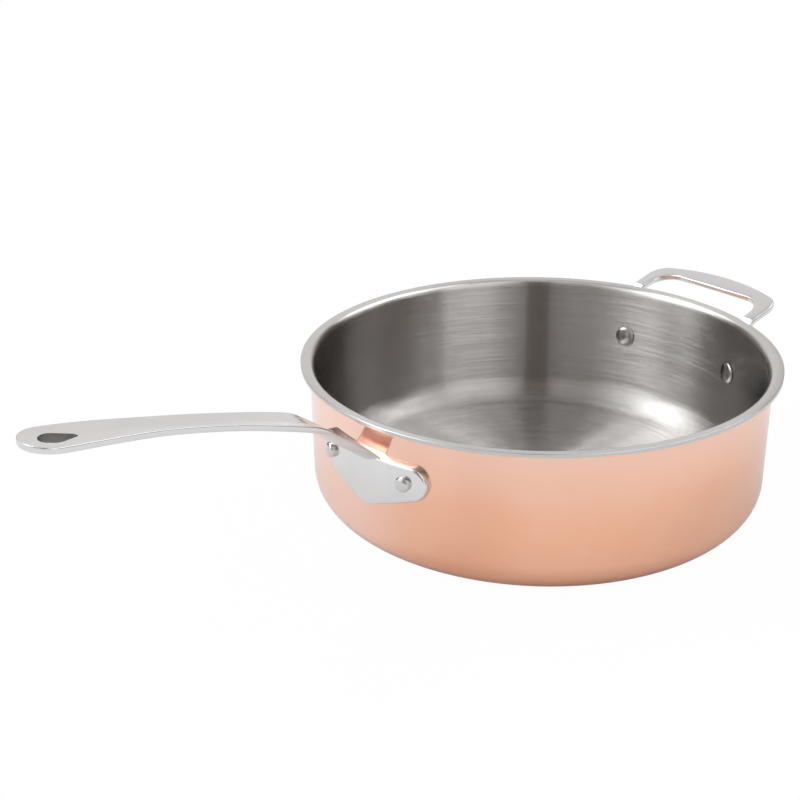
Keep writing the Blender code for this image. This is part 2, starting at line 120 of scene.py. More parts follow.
HANGING_HOLE_MARGIN = 0.0091
HANGING_HOLE_SPACING = HANGING_HOLE_LENGTH - HANGING_HOLE_RADIUS - HANGING_HOLE_END_RADIUS
HOLE_WALL_TILT = 0.3
GRIP_START = ROOT_LENGTH + NECK_LENGTH + BEND_LENGTH
HANDLE_LENGTH = GRIP_START + GRIP_LENGTH
TIP_START = HANDLE_LENGTH - TIP_ROUND_LENGTH

# Helper handle
HELPER_HANDLE_AZIMUTH = math.radians(-4.6)
HELPER_RIVET_SPREAD = math.radians(19.06)
HELPER_RIVET_HEIGHT = 0.0555
PAD_RADIUS = 0.011
PAD_THICKNESS = 0.004
PAD_EDGE_ROUND = 0.0011
LEG_WIDTH = 0.009
LEG_ROOT_THICKNESS = 0.0025
LEG_TAPER_SHARE = 1 / 3
LEG_HEAD_GAP = 0.0012
LEG_BEND_RADIUS = 0.008
LOOP_THICKNESS = 0.005
LOOP_EDGE_ROUND = 0.0009
LOOP_SLOPE = math.radians(14.8)
LOOP_REACH = 0.0395
LOOP_DROP = 0.0008
RIM_CLEARANCE = 0.0013
GRIP_WIDTH = 0.0138
GRIP_BOW_RADIUS = 0.142
OUTER_CORNER_RADIUS = 0.0135
WINDOW_CORNER_RADIUS = 0.0155

# Fineness of the meshes
TURN_STEPS = 256
BASE_RING_RADII = (0.0, 0.04, 0.08)
CORNER_STEPS = 20
FLARE_STEPS = 12
EDGE_STEPS = 4
RIVET_STEPS = 48
HEAD_STEPS = 10
SHIELD_STRIP = 0.0011
LOBE_STEPS = 28
APEX_STEPS = 10
PAD_STEPS = 72
ROOT_STEPS = 16
BEND_STEPS = 8
GRIP_STEPS = 60
TIP_STEPS = 22
HOLE_STEPS = 48
HOLE_END_STEPS = 16
FACET_SHARES = (0.02, 0.05, 0.1, 0.25, 0.5, 0.75, 0.92)
BELLY_SHARES = (0.985, 0.95, 0.88, 0.78, 0.66, 0.5, 0.34, 0.17)
LEG_STEPS = 6
LEG_BEND_STEPS = 12
LOOP_CORNER_STEPS = 18
BOW_STEPS = 14
BELLY_STEPS = 14
LOOP_TOP_SHARES = (0.35, 0.65)
SMOOTH_ANGLE = math.radians(38)
CUT_TOLERANCE = 1e-7

# Colours of the metals; where there are two, noise runs between them
COPPER_TONES = ((0.905, 0.465, 0.295, 1), (0.92, 0.525, 0.365, 1))
# Painted light: a paler copper towards the rim and a paler side near the long handle
COPPER_PAINTED_RIM_REFLECTION = (0.915, 0.585, 0.465, 1)
COPPER_PAINTED_SIDE_SHEEN = (0.965, 0.66, 0.56, 1)
LINING_TONES = ((0.46, 0.445, 0.43, 1), (0.64, 0.625, 0.61, 1))
FLANGE_COLOUR = (0.66, 0.65, 0.64, 1)
CORE_TONES = ((0.50, 0.50, 0.51, 1), (0.68, 0.69, 0.70, 1))
CAST_TONES = ((0.70, 0.705, 0.71, 1), (0.79, 0.79, 0.79, 1))
RAW_CAST_TONES = ((0.16, 0.15, 0.14, 1), (0.36, 0.345, 0.33, 1))
RIVET_TONES = ((0.60, 0.59, 0.58, 1), (0.70, 0.69, 0.68, 1))

# Roughness where noise is low and where it is high, the band of the noise over
# which it changes, and the noise's middle
COPPER_ROUGHNESS = (0.085, 0.14)
LINING_ROUGHNESS = (0.16, 0.2)
CAST_ROUGHNESS = (0.15, 0.23)
RIVET_ROUGHNESS = (0.13, 0.2)
NOISE_BAND = (0.3, 0.7)
NOISE_MIDDLE = 0.5

# Painted light on the copper: the height from which it pales up to the rim, a
# painted reflection, and the azimuth of its paler side, a painted sheen, with the
# distances towards it between which that tone sets in
PAINTED_REFLECTION_START = 0.045
PAINTED_SHEEN_AZIMUTH = math.radians(155)
PAINTED_SHEEN_REACH = (0.107, 0.139)
PAINTED_SHEEN_SHARE = 0.9

# Hazy coat of the copper
COPPER_COAT = 0.8
COPPER_COAT_ROUGHNESS = 0.5
COPPER_COAT_IOR = 1.7

# Polish of the rim's flange: the height where it starts, and the share of the
# brushing that it takes away
POLISH_START = 0.088
POLISHED_SHARE = 0.95

# Brushing of the lining: its turn from the radial tangent, and how strongly noise
# tilts the surface across its lines on the wall and on the floor, and along them
# in the corner. Bands are heights and the ring is distances from the axis.
BRUSHING_TURN = 0.25
SCRATCH_TILT = 3.5
FLOOR_SCRATCH_TILT = 4.6
FLOOR_BAND = (0.004, 0.014)
CORNER_TILT = 0.6
CORNER_BAND = (0.0032, 0.0052)
CORNER_RING = (0.110, 0.123)

# Camera, from the photograph's perspective: its place round the pan's axis, how
# far left of that axis it looks, how far it dips and how far it leans
CAMERA_TURN = math.radians(-49)
CAMERA_DISTANCE = 0.726809
CAMERA_HEIGHT = 0.374396
CAMERA_HEADING = math.radians(6.8575)
CAMERA_DIP = math.radians(23.5832)
CAMERA_ROLL = math.radians(-1.0558)
CAMERA_LENS = 55.7146
CAMERA_SENSOR = 36.0
CAMERA_CLIP = (0.01, 50.0)

# Studio: directions of the photographer's view, level with the floor
VIEW_TURN = Matrix.Rotation(CAMERA_TURN, 3, "Z")
AHEAD = VIEW_TURN @ Vector((0.0, 1.0, 0.0))
ASIDE = VIEW_TURN @ Vector((1.0, 0.0, 0.0))
UPWARD = Vector((0.0, 0.0, 1.0))

# Soft boxes: level, headings right of straight ahead and elevations, in degrees.
# Both ranges say where a box starts, is full, is full no longer and has ended.
SOFT_BOXES = {
    "sweep": (0.71, (-42, -25, 5, 32), (-12, -2, 40, 65)),
    "left": (2.4, (-155, -108, -88, -55), (22, 32, 50, 72)),
    "left_foot": (1.4, (-150, -115, -98, -78), (-5, 5, 22, 32)),
    "left_top": (3.2, (-105, -80, -40, -14), (34, 45, 57, 67)),
    "right": (2.5, (12, 36, 60, 88), (28, 38, 55, 62)),
    "right_corner": (2.3, (60, 76, 98, 112), (40, 48, 57, 63)),
    "right_side": (1.1, (112, 126, 150, 168), (22, 34, 55, 75)),
    "right_foot": (1.25, (122, 130, 150, 162), (-5, 5, 22, 34)),
    "right_top": (1.2, (20, 45, 94, 112), (56, 62, 68, 73)),
    "back_right": (0.36, (150, 162, 181, 182), (-5, 5, 50, 65)),
    "back_left": (0.3, (-182, -181, -162, -135), (-5, 5, 50, 65)),
}
BOX_COLOUR = (0.965, 0.985, 1.0, 1)
ROOM_COLOUR = (0.135, 0.105, 0.088, 1)
WHITE = (1, 1, 1, 1)
ZENITH_LEVEL = 0.65
ZENITH_EDGE = (58, 70)

# Dark gap between the boxes behind the camera: how far it reaches to each side
# of its middle, and how far ahead, as parts of a direction of length 1
GAP_MIDDLE = 0.01
GAP_ASIDE = (0.085, 0.11)
GAP_AHEAD = (-0.3, -0.05)

# Floor: how far it reaches, its colour, and its share of plain white to the camera
# and in mirror images, where it grows between two distances from the pan's axis, so
# that mirror images show a painted shadow of the pan
FLOOR_REACH = 3.0
FLOOR_COLOUR = (0.8, 0.8, 0.8, 1)
CAMERA_WHITE_SHARE = 0.98
MIRRORED_WHITE_SHARE = (0.06, 0.30)
PAN_SHADE = (0.13, 0.19)


def arc(centre, radius, start, end, steps):
    """Points on a circle in a plane, from the start angle to the end angle."""
    points = []
    for step in range(steps + 1):
        angle = start + (end - start) * step / steps
        points.append((centre[0] + radius * math.cos(angle), centre[1] + radius * math.sin(angle)))
    return points


def ease(value, low, high):
    """Smooth step from 0 at low to 1 at high."""
    share = min(max((value - low) / (high - low), 0.0), 1.0)
    return share * share * (3 - 2 * share)


def revolve(profile, steps):
    """Turn a closed profile of (radius, height) about Z into a closed solid."""
    bm = bmesh.new()
    rings = []
    for radius, height in profile:
        if radius == 0.0:
            rings.append([bm.verts.new((0, 0, height))])
            continue
        ring = []
        for step in range(steps):
            angle = 2 * math.pi * step / steps
            ring.append(bm.verts.new((radius * math.cos(angle), radius * math.sin(angle), height)))
        rings.append(ring)
    for index, ring in enumerate(rings):
        following = rings[(index + 1) % len(rings)]
        if len(ring) == 1 and len(following) == 1:
            continue
        for step in range(steps):
            after = (step + 1) % steps
            if len(ring) == 1:
                bm.faces.new((ring[0], following[after], following[step]))
            elif len(following) == 1:
                bm.faces.new((ring[step], ring[after], following[0]))
            else:
                bm.faces.new((ring[step], ring[after], following[after], following[step]))
    return bm


def loft(rings):
    """Join rings of points, all of one count, into a solid with two end caps."""
    bm = bmesh.new()
    loops = [[bm.verts.new(point) for point in ring] for ring in rings]
    count = len(loops[0])
    for near, far in zip(loops, loops[1:]):
        for index in range(count):
            after = (index + 1) % count
            bm.faces.new((near[index], near[after], far[after], far[index]))
    bm.faces.new(loops[0])
    bm.faces.new(loops[-1])
    return bm


def add_object(name, bm, material, azimuth=0.0):
    """Turn a bmesh into a smooth-shaded object, turned about the pan's axis."""
    bmesh.ops.recalc_face_normals(bm, faces=bm.faces)
    bmesh.ops.rotate(bm, verts=bm.verts, cent=(0, 0, 0), matrix=Matrix.Rotation(azimuth, 3, "Z"))
    mesh = bpy.data.meshes.new(name)
    bm.to_mesh(mesh)
    bm.free()
    mesh.shade_smooth()
    mesh.set_sharp_from_angle(angle=SMOOTH_ANGLE)
    mesh.materials.append(material)
    piece = bpy.data.objects.new(name, mesh)
    bpy.context.collection.objects.link(piece)
    return piece


def unite(name, parts, cuts, material):
    """One mesh from the union of parts, with the cuts taken out of it."""
    base = parts[0]
    tools = [(tool, "UNION") for tool in parts[1:]] + [(tool, "DIFFERENCE") for tool in cuts]
    for tool, operation in tools:
        modifier = base.modifiers.new(tool.name, "BOOLEAN")
        modifier.operation = operation
        modifier.solver = "EXACT"
        modifier.object = tool
    bpy.context.view_layer.update()
    evaluated = base.evaluated_get(bpy.context.evaluated_depsgraph_get())
    mesh = bpy.data.meshes.new_from_object(evaluated)
    mesh.name = name
    for spare in parts + cuts:
        bpy.data.objects.remove(spare, do_unlink=True)
    mesh.shade_smooth()
    mesh.set_sharp_from_angle(angle=SMOOTH_ANGLE)
    mesh.materials.clear()
    mesh.materials.append(material)
    piece = bpy.data.objects.new(name, mesh)
    bpy.context.collection.objects.link(piece)
    return piece


def show(piece, slot, *nodes):
    """Let a piece stand for the nodes of the frame that it draws again."""
    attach(piece, "root")
    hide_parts(*nodes)


class Nodes:
    """Builds the node tree of one material or world."""

    def __init__(self, owner):
        owner.use_nodes = True
        self.tree = owner.node_tree

    def add(self, kind, **values):
        node = self.tree.nodes.new(kind)
        for name, value in values.items():
            setattr(node, name, value)
        return node

    def link(self, source, target):
        self.tree.links.new(source, target)

    def math(self, operation, first, second=None, third=None):
        node = self.add("ShaderNodeMath", operation=operation)
        for socket, value in zip(node.inputs, (first, second, third)):
            self.feed(socket, value)
        return node.outputs[0]

    def feed(self, socket, value):
        if value is None:
            return
        if isinstance(value, bpy.types.NodeSocket):
            self.link(value, socket)
        else:
            socket.default_value = value

    def dot(self, first, direction):
        node = self.add("ShaderNodeVectorMath", operation="DOT_PRODUCT")
        self.link(first, node.inputs[0])
        node.inputs[1].default_value = direction
        return node.outputs["Value"]

    def ramp(self, value, low, high, start, end):
        """Smooth step of a value from start, at low, to end, at high."""
        node = self.add("ShaderNodeMapRange", interpolation_type="SMOOTHSTEP")
        self.feed(node.inputs["Value"], value)
        node.inputs["From Min"].default_value = low
        node.inputs["From Max"].default_value = high
        node.inputs["To Min"].default_value = start
        node.inputs["To Max"].default_value = end
        return node.outputs["Result"]

    def blend(self, first, second, share):
        """A share of the first value and the rest of the second."""
        rest = self.math("MULTIPLY", second, 1 - share)
        return self.math("MULTIPLY_ADD", first, share, rest)

    def noise(self, vector, scale, detail, roughness):
        node = self.add("ShaderNodeTexNoise")
        self.link(vector, node.inputs["Vector"])
        node.inputs["Scale"].default_value = scale
        node.inputs["Detail"].default_value = detail
        node.inputs["Roughness"].default_value = roughness
        return node.outputs["Fac"]

    def mix_colour(self, factor, first, second):
        node = self.add("ShaderNodeMix", data_type="RGBA")
        self.feed(node.inputs[0], factor)
        self.feed(node.inputs[6], first)
        self.feed(node.inputs[7], second)
        return node.outputs[2]

    def bump(self, height, strength, distance, normal=None):
        node = self.add("ShaderNodeBump")
        node.inputs["Strength"].default_value = strength
        node.inputs["Distance"].default_value = distance
        self.link(height, node.inputs["Height"])
        if normal is not None:
            self.link(normal, node.inputs["Normal"])
        return node.outputs["Normal"]

    def tilt(self, tangent, across_amount, along_amount):
        """Surface normal tilted across a tangent and along it."""
        normal = self.add("ShaderNodeNewGeometry").outputs["Normal"]
        across = self.add("ShaderNodeVectorMath", operation="CROSS_PRODUCT")
        self.link(normal, across.inputs[0])
        self.link(tangent, across.inputs[1])
        total = normal
        for direction, amount in ((across.outputs[0], across_amount), (tangent, along_amount)):
            step = self.add("ShaderNodeVectorMath", operation="SCALE")
            self.link(direction, step.inputs[0])
            self.link(amount, step.inputs["Scale"])
            moved = self.add("ShaderNodeVectorMath", operation="ADD")
            self.link(total, moved.inputs[0])
            self.link(step.outputs[0], moved.inputs[1])
            total = moved.outputs[0]
        unit = self.add("ShaderNodeVectorMath", operation="NORMALIZE")
        self.link(total, unit.inputs[0])
        return unit.outputs[0]

    def place(self):
        """Position in the pan's own frame, in metres."""
        return self.add("ShaderNodeTexCoord").outputs["Object"]

    def coordinates(self):
        """The three parts of the position in the pan's own frame."""
        split = self.add("ShaderNodeSeparateXYZ")
        self.link(self.place(), split.inputs[0])
        return tuple(split.outputs)

    def height(self):
        """Height over the underside of the base, in metres."""
        return self.coordinates()[2]

    def reach(self):
        """Distance from the pan's axis, in metres."""
        x, y = self.coordinates()[:2]
        return self.math("SQRT", self.math("MULTIPLY_ADD", x, x, self.math("MULTIPLY", y, y)))

    def turned(self, across, around):
        """Coordinates for marks that run in circles round the pan's axis.

        They vary fast over the sheet's length from the axis up the wall, and
        slowly round the axis.
        """
        x, y, z = self.coordinates()
        radius = self.reach()
        length = self.math("ADD", radius, z)
        join = self.add("ShaderNodeCombineXYZ")
        self.link(self.math("MULTIPLY", self.math("DIVIDE", x, radius), around), join.inputs[0])
        self.link(self.math("MULTIPLY", self.math("DIVIDE", y, radius), around), join.inputs[1])
        self.link(self.math("MULTIPLY", length, across), join.inputs[2])
        return join.outputs[0]

    def marks(self, across, around, detail, roughness):
        """Noise drawn out into circles round the pan's axis."""
        return self.noise(self.turned(across, around), scale=1.0, detail=detail, roughness=roughness)


def metal(name, roughness, anisotropy=0.0):
    """A metallic material: its node tree and its shader."""
    material = bpy.data.materials.new(name)
    nodes = Nodes(material)
    shader = nodes.tree.nodes["Principled BSDF"]
    shader.inputs["Metallic"].default_value = 1.0
    shader.inputs["Roughness"].default_value = roughness
    shader.inputs["Anisotropic"].default_value = anisotropy
    return material, nodes, shader


def copper_material():
    """Polished copper with faint clouds and fine marks round it.

    It is paler under the rim, a painted reflection, and on one side of the long
    handle, a painted sheen.
    """
    material, nodes, shader = metal("polished_copper_look", roughness=0.12)
    place = nodes.place()
    clouds = nodes.noise(place, scale=22.0, detail=3.0, roughness=0.55)
    marks = nodes.marks(across=2600.0, around=2.2, detail=3.0, roughness=0.6)
    tone = nodes.ramp(nodes.blend(marks, clouds, share=0.3), *NOISE_BAND, 0.0, 1.0)
    body = nodes.mix_colour(tone, *COPPER_TONES)
    # Painted reflection: the copper pales from a height up to the rim
    painted_reflection = nodes.ramp(nodes.height(), PAINTED_REFLECTION_START, PAN_HEIGHT, 0.0, 1.0)
    colour = nodes.mix_colour(painted_reflection, body, COPPER_PAINTED_RIM_REFLECTION)
    # Painted sheen: paler copper on the side towards the long handle
    toward_painted_sheen = nodes.dot(place, (math.cos(PAINTED_SHEEN_AZIMUTH), math.sin(PAINTED_SHEEN_AZIMUTH), 0.0))
    side = nodes.ramp(toward_painted_sheen, *PAINTED_SHEEN_REACH, 0.0, PAINTED_SHEEN_SHARE)
    colour = nodes.mix_colour(side, colour, COPPER_PAINTED_SIDE_SHEEN)
    nodes.link(colour, shader.inputs["Base Color"])
    nodes.link(nodes.ramp(clouds, *NOISE_BAND, *COPPER_ROUGHNESS), shader.inputs["Roughness"])
    nodes.link(nodes.bump(marks, strength=0.05, distance=0.0001), shader.inputs["Normal"])
    shader.inputs["Coat Weight"].default_value = COPPER_COAT
    shader.inputs["Coat Roughness"].default_value = COPPER_COAT_ROUGHNESS
    shader.inputs["Coat IOR"].default_value = COPPER_COAT_IOR
    return material


def lining_material():
    """Steel brushed in circles, with streaks; the flange of the rim is polished.

    The brushing is finer than a pixel: noise tilts the surface across its lines,
    which spreads reflections up and down and keeps their upright edges sharp.
    """
    material, nodes, shader = metal("brushed_steel_look", roughness=0.18, anisotropy=1.0)
    scratches = nodes.marks(across=60000.0, around=2.0, detail=1.0, roughness=0.5)
    grain = nodes.noise(nodes.place(), scale=30000.0, detail=1.0, roughness=0.5)
    fine = nodes.marks(across=5200.0, around=3.0, detail=4.0, roughness=0.65)
    broad = nodes.marks(across=700.0, around=1.6, detail=3.0, roughness=0.5)
    streaks = nodes.blend(fine, broad, share=0.6)
    height = nodes.height()
    flange = nodes.ramp(height, POLISH_START, PAN_HEIGHT, 0.0, 1.0)
    brushed = nodes.mix_colour(streaks, *LINING_TONES)
    colour = nodes.mix_colour(flange, brushed, FLANGE_COLOUR)
    nodes.link(colour, shader.inputs["Base Color"])
    nodes.link(nodes.ramp(streaks, *NOISE_BAND, *LINING_ROUGHNESS), shader.inputs["Roughness"])
    tangent = nodes.add("ShaderNodeTangent", direction_type="RADIAL", axis="Z").outputs[0]
    shader.inputs["Anisotropic Rotation"].default_value = BRUSHING_TURN
    nodes.link(tangent, shader.inputs["Tangent"])

    depth = nodes.ramp(height, *FLOOR_BAND, FLOOR_SCRATCH_TILT, SCRATCH_TILT)
    depth = nodes.math("MULTIPLY_ADD", flange, -POLISHED_SHARE * SCRATCH_TILT, depth)
    across = nodes.math("MULTIPLY", nodes.math("SUBTRACT", scratches, NOISE_MIDDLE), depth)
    corner = nodes.ramp(height, *CORNER_BAND, 1.0, 0.0)
    corner = nodes.math("MULTIPLY", corner, nodes.ramp(nodes.reach(), *CORNER_RING, 0.0, 1.0))
    corner = nodes.math("MULTIPLY", corner, CORNER_TILT)
    along = nodes.math("MULTIPLY", nodes.math("SUBTRACT", grain, NOISE_MIDDLE), corner)
    nodes.link(nodes.tilt(tangent, across, along), shader.inputs["Normal"])
    return material


def core_material():
    """Cut aluminium edge with the cutter's fine lines."""
    material, nodes, shader = metal("core_aluminium_look", roughness=0.34)
    lines = nodes.marks(across=3800.0, around=9.0, detail=3.0, roughness=0.6)
    nodes.link(nodes.mix_colour(lines, *CORE_TONES), shader.inputs["Base Color"])
    nodes.link(nodes.bump(lines, strength=0.25, distance=0.0001), shader.inputs["Normal"])
    return material


def cast_material():
    """Cast steel, polished: a soft orange-peel, fine grain and faint clouds."""
    material, nodes, shader = metal("cast_steel_look", roughness=0.2)
    place = nodes.place()
    clouds = nodes.noise(place, scale=60.0, detail=2.0, roughness=0.5)
    grain = nodes.noise(place, scale=2400.0, detail=2.0, roughness=0.6)
    peel = nodes.noise(place, scale=340.0, detail=2.0, roughness=0.5)
    nodes.link(nodes.mix_colour(clouds, *CAST_TONES), shader.inputs["Base Color"])
    nodes.link(nodes.ramp(clouds, *NOISE_BAND, *CAST_ROUGHNESS), shader.inputs["Roughness"])
    peeled = nodes.bump(peel, strength=0.05, distance=0.0006)
    grained = nodes.bump(grain, strength=0.06, distance=0.0001, normal=peeled)
    nodes.link(grained, shader.inputs["Normal"])
    return material


def raw_cast_material():
    """Cast steel as it left the mould, inside the hanging hole."""
    material, nodes, shader = metal("raw_cast_steel_look", roughness=0.55)
    pits = nodes.noise(nodes.place(), scale=900.0, detail=3.0, roughness=0.6)
    nodes.link(nodes.mix_colour(pits, *RAW_CAST_TONES), shader.inputs["Base Color"])
    nodes.link(nodes.bump(pits, strength=0.4, distance=0.0004), shader.inputs["Normal"])
    return material


def rivet_material():
    """Turned and polished steel rivet."""
    material, nodes, shader = metal("rivet_steel_look", roughness=0.16)
    clouds = nodes.noise(nodes.place(), scale=420.0, detail=2.0, roughness=0.5)
    nodes.link(nodes.mix_colour(clouds, *RIVET_TONES), shader.inputs["Base Color"])
    nodes.link(nodes.ramp(clouds, *NOISE_BAND, *RIVET_ROUGHNESS), shader.inputs["Roughness"])
    nodes.link(nodes.bump(clouds, strength=0.04, distance=0.0004), shader.inputs["Normal"])
    return material


def flare_height():
    """Height at which the wall starts to flare, so that the rim ends level."""
    radius = FLARE_RADIUS + SHEET_THICKNESS
    flange_start = OUTER_RADIUS + FLARE_RADIUS - radius * math.cos(FLARE_ANGLE)
    flange_rise = (RIM_RADIUS - flange_start) / math.tan(FLARE_ANGLE)
    return PAN_HEIGHT - flange_rise - radius * math.sin(FLARE_ANGLE)


def sheet_surface(depth):
    """The bowl's sheet at one depth under its outer face, from axis to rim."""
    corner_centre = (OUTER_RADIUS - CORNER_RADIUS, CORNER_RADIUS)
    points = [(radius, depth) for radius in BASE_RING_RADII]
    points += arc(corner_centre, CORNER_RADIUS - depth, -math.pi / 2, 0.0, CORNER_STEPS)
    flare_centre = (OUTER_RADIUS + FLARE_RADIUS, flare_height())
    flare = arc(flare_centre, FLARE_RADIUS + depth, math.pi, math.pi - FLARE_ANGLE, FLARE_STEPS)
    points += flare
    last_radius, last_height = flare[-1]
    rise = (RIM_RADIUS - last_radius) / math.tan(FLARE_ANGLE)
    points.append((RIM_RADIUS, last_height + rise))
    return points


def rounded_end(points, side):
    """Replace a profile's last point by a small round, upward or downward by side."""
    last = Vector(points[-1])
    before = Vector(points[-2])
    along = (last - before).normalized()
    start = last - along * RIM_EDGE_ROUND
    aside = Vector((0.0, side * RIM_EDGE_ROUND))
    rounded = []
    for step in range(EDGE_STEPS + 1):
        angle = math.pi / 2 * step / EDGE_STEPS
        ahead = along * (RIM_EDGE_ROUND * math.sin(angle))
        rounded.append(tuple(start + ahead + aside * (1 - math.cos(angle))))
    return points[:-1] + rounded


def add_layer(name, depth, thickness, material, round_top=False, round_bottom=False):
    """One layer of the clad sheet, between two depths under the outer face."""
    outer = sheet_surface(depth)
    inner = sheet_surface(depth + thickness)
    if round_top:
        inner = rounded_end(inner, -1.0)
    if round_bottom:
        outer = rounded_end(outer, 1.0)
    return add_object(name, revolve(outer + inner[::-1], TURN_STEPS), material)


def rivet_frame(azimuth, height):
    """Matrix that lays the Z axis along a radius of the pan at one height."""
    outward = Vector((math.cos(azimuth), math.sin(azimuth), 0))
    turn = outward.to_track_quat("Z", "Y").to_matrix().to_4x4()
    return Matrix.Translation((0, 0, height)) @ turn


def add_rivet(name, azimuth, height, seat_radius, material):
    """Rivet with a raised outer head and a low domed head inside the pan."""
    inner_seat = math.sqrt(INNER_RADIUS ** 2 - INNER_HEAD_RADIUS ** 2) - INNER_HEAD_STAND
    outer_seat = seat_radius - SEAT_SINK
    outer_shoulder = seat_radius + HEAD_STAND + OUTER_HEAD_SIDE
    inner_dome = []
    outer_dome = []
    for step in range(1, HEAD_STEPS + 1):
        angle = math.pi / 2 * step / HEAD_STEPS
        across = math.sin(angle)
        rise = math.cos(angle)
        inner_dome.append((INNER_HEAD_RADIUS * across, inner_seat - INNER_HEAD_DOME * rise))
        outer_dome.append((OUTER_HEAD_RADIUS * across, outer_shoulder + OUTER_HEAD_DOME * rise))
    profile = [(0.0, inner_seat - INNER_HEAD_DOME)] + inner_dome
    profile += [(SHANK_RADIUS, inner_seat), (SHANK_RADIUS, outer_seat), (OUTER_HEAD_RADIUS, outer_seat)]
    profile += outer_dome[::-1] + [(0.0, outer_shoulder + OUTER_HEAD_DOME)]
    bm = revolve(profile, RIVET_STEPS)
    bmesh.ops.transform(bm, matrix=rivet_frame(azimuth, height), verts=bm.verts)
    return add_object(name, bm, material)


def inset_outline(outline, distance):
    """A convex anticlockwise outline, moved inward by a distance."""
    moved = []
    count = len(outline)
    for index, point in enumerate(outline):
        before = Vector(outline[index - 1])
        after = Vector(outline[(index + 1) % count])
        along = (after - before).normalized()
        moved.append((point[0] - along.y * distance, point[1] + along.x * distance))
    return moved


def curved_plate(outline, thickness, edge_round):
    """A plate of (arc, height) outline that lies on the pan's wall at +X."""
    bm = bmesh.new()
    levels = [(0.0, 0.0)]
    for step in range(EDGE_STEPS + 1):
        angle = math.pi / 2 * step / EDGE_STEPS
        depth = thickness - edge_round * (1 - math.sin(angle))
        levels.append((depth, edge_round * (1 - math.cos(angle))))
    loops = []
    for depth, inset in levels:
        loops.append([bm.verts.new((across, up, depth)) for across, up in inset_outline(outline, inset)])
    count = len(outline)
    for low, high in zip(loops, loops[1:]):
        for index in range(count):
            after = (index + 1) % count
            bm.faces.new((low[index], low[after], high[after], high[index]))
    bm.faces.new(loops[0][::-1])
    bm.faces.new(loops[-1])
    half_width = max(point[0] for point in outline)
    strips = int(half_width / SHIELD_STRIP)
    for strip in range(-strips, strips + 1):
        parts = list(bm.verts) + list(bm.edges) + list(bm.faces)
        place = (strip * SHIELD_STRIP, 0, 0)
        bmesh.ops.bisect_plane(bm, geom=parts, dist=CUT_TOLERANCE, plane_co=place, plane_no=(1, 0, 0))
    outer = FITTING_RADIUS + thickness
    for vert in bm.verts:
        across, height, depth = vert.co
        radius = FITTING_RADIUS + depth if depth else OUTER_RADIUS - SEAT_SINK
        angle = across / outer
        vert.co = (radius * math.cos(angle), radius * math.sin(angle), height)
    return bm


def shield_outline():
    """Shield of the long handle: two lobes, a straight top and a low apex."""
    lobe_x = LONG_RIVET_SPREAD * (FITTING_RADIUS + SHIELD_THICKNESS) + LOBE_OFFSET
    lobe_z = LONG_RIVET_HEIGHT
    apex_z = lobe_z - APEX_DROP
    reach = math.hypot(lobe_x, APEX_DROP)
    lean = math.atan2(APEX_DROP, lobe_x) - math.asin(LOBE_RADIUS / reach)
    lobe = arc((lobe_x, lobe_z), LOBE_RADIUS, -math.pi / 2 + lean, math.pi / 2, LOBE_STEPS)
    round_z = apex_z + APEX_ROUND / math.cos(lean)
    apex = arc((0.0, round_z), APEX_ROUND, -math.pi / 2, -math.pi / 2 + lean, APEX_STEPS)
    right = apex + lobe
    left = [(-across, height) for across, height in right[:0:-1]]
    return right + left


def handle_station(length):
    """Place (reach, height) and slope of the long handle's top line."""
    runs = (
        (ROOT_LENGTH, NECK_SLOPE),
        (NECK_LENGTH, NECK_SLOPE),
        (BEND_LENGTH, GRIP_SLOPE),
        (GRIP_LENGTH, TIP_SLOPE),
    )
    place = Vector((FITTING_RADIUS + ROOT_DEPTH, LONG_RIVET_HEIGHT + LOBE_RADIUS - ROOT_DROP))
    slope = ROOT_SLOPE
    rest = length
    for run, end_slope in runs:
        part = min(rest, run)
        half_turn = (end_slope - slope) * part / run / 2
        chord = part * math.sin(half_turn) / half_turn if half_turn else part
        place += Vector((math.cos(slope + half_turn), math.sin(slope + half_turn))) * chord
        slope += 2 * half_turn
        rest -= part
    return place, slope


def tip_share(length):
    """Share of the full width that the round tip leaves at one length."""
    ahead = max(length - TIP_START, 0.0) / TIP_ROUND_LENGTH
    return math.sqrt(max(1 - ahead ** 2, 0.0))


